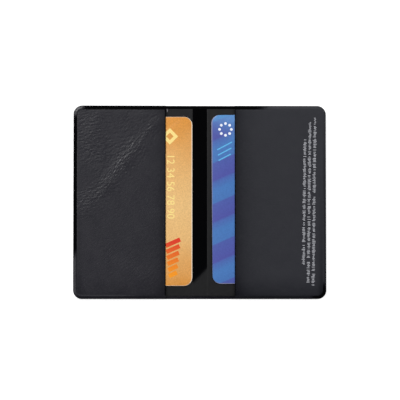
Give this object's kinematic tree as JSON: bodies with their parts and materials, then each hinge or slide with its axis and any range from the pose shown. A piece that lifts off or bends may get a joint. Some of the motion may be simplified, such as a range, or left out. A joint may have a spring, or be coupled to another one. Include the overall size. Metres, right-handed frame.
{
  "type": "rfid card sleeve",
  "caption": "Bifold welded PVC card sleeve with a shielding foil, lying open, with a card in each of its pockets.",
  "frame": {"origin": "middle of the underside of the sleeve as it lies open", "axes": "+X to the right across the spine, +Y up along the spine, +Z out of the pockets' faces"},
  "size_m": [0.128, 0.098, 0.0018],
  "materials": {
    "grained_pvc": "soft calendered PVC with a fine leather grain",
    "smooth_pvc": "soft calendered PVC, smooth and satin",
    "lining_pvc": "thin smooth PVC lining with a soft shine",
    "welded_pvc": "PVC margin pressed smooth by the welding tool",
    "shielding_foil": "thin bright foil laminate",
    "gold_print": "printed PVC under a clear overlay",
    "blue_print": "printed PVC under a clear overlay",
    "card_back_sheet": "plain PVC under a clear overlay",
    "chip_contacts": "gold plated contacts",
    "magnetic_stripe": "dark magnetic tape",
    "signature_panel": "white writable film",
    "antenna_copper": "bare copper"
  },
  "bodies": {
    "left_half": {"cover_left": "grained_pvc", "foil_left": "shielding_foil", "lining_left": "lining_pvc", "weld_left": "welded_pvc", "pocket_left": "grained_pvc"},
    "spine": {"cover_spine": "grained_pvc", "foil_spine": "shielding_foil", "lining_spine": "lining_pvc", "weld_spine": "welded_pvc"},
    "right_half": {"cover_right": "grained_pvc", "foil_right": "shielding_foil", "lining_right": "lining_pvc", "weld_right": "welded_pvc", "pocket_right": "smooth_pvc"},
    "gold_card": {"gold_card_front": "gold_print", "gold_card_back": "card_back_sheet", "gold_card_chip": "chip_contacts", "gold_card_stripe": "magnetic_stripe", "gold_card_signature": "signature_panel"},
    "blue_card": {"blue_card_front": "blue_print", "blue_card_back": "card_back_sheet", "blue_card_chip": "chip_contacts", "blue_card_stripe": "magnetic_stripe", "blue_card_signature": "signature_panel", "blue_card_antenna": "antenna_copper"}
  },
  "joints": [
    {"name": "spine_fold", "type": "hinge", "parent": "left_half", "child": "spine", "pos_m": [-0.00375, 0, 0.00065], "axis": [0, -1, 0], "range_deg": [0, 92.2]},
    {"name": "right_fold", "type": "hinge", "parent": "spine", "child": "right_half", "pos_m": [0.00375, 0, 0.00065], "axis": [0, -1, 0], "range_deg": [0, 92.2]},
    {"name": "gold_card_slide", "type": "slide", "parent": "left_half", "child": "gold_card", "axis": [1, 0, 0], "range_m": [-0.0047, 0]},
    {"name": "blue_card_slide", "type": "slide", "parent": "right_half", "child": "blue_card", "axis": [-1, 0, 0], "range_m": [-0.002, 0.0019]}
  ],
  "couplings": [
    {"joint": "right_fold", "follows": "spine_fold", "ratio": 1}
  ]
}
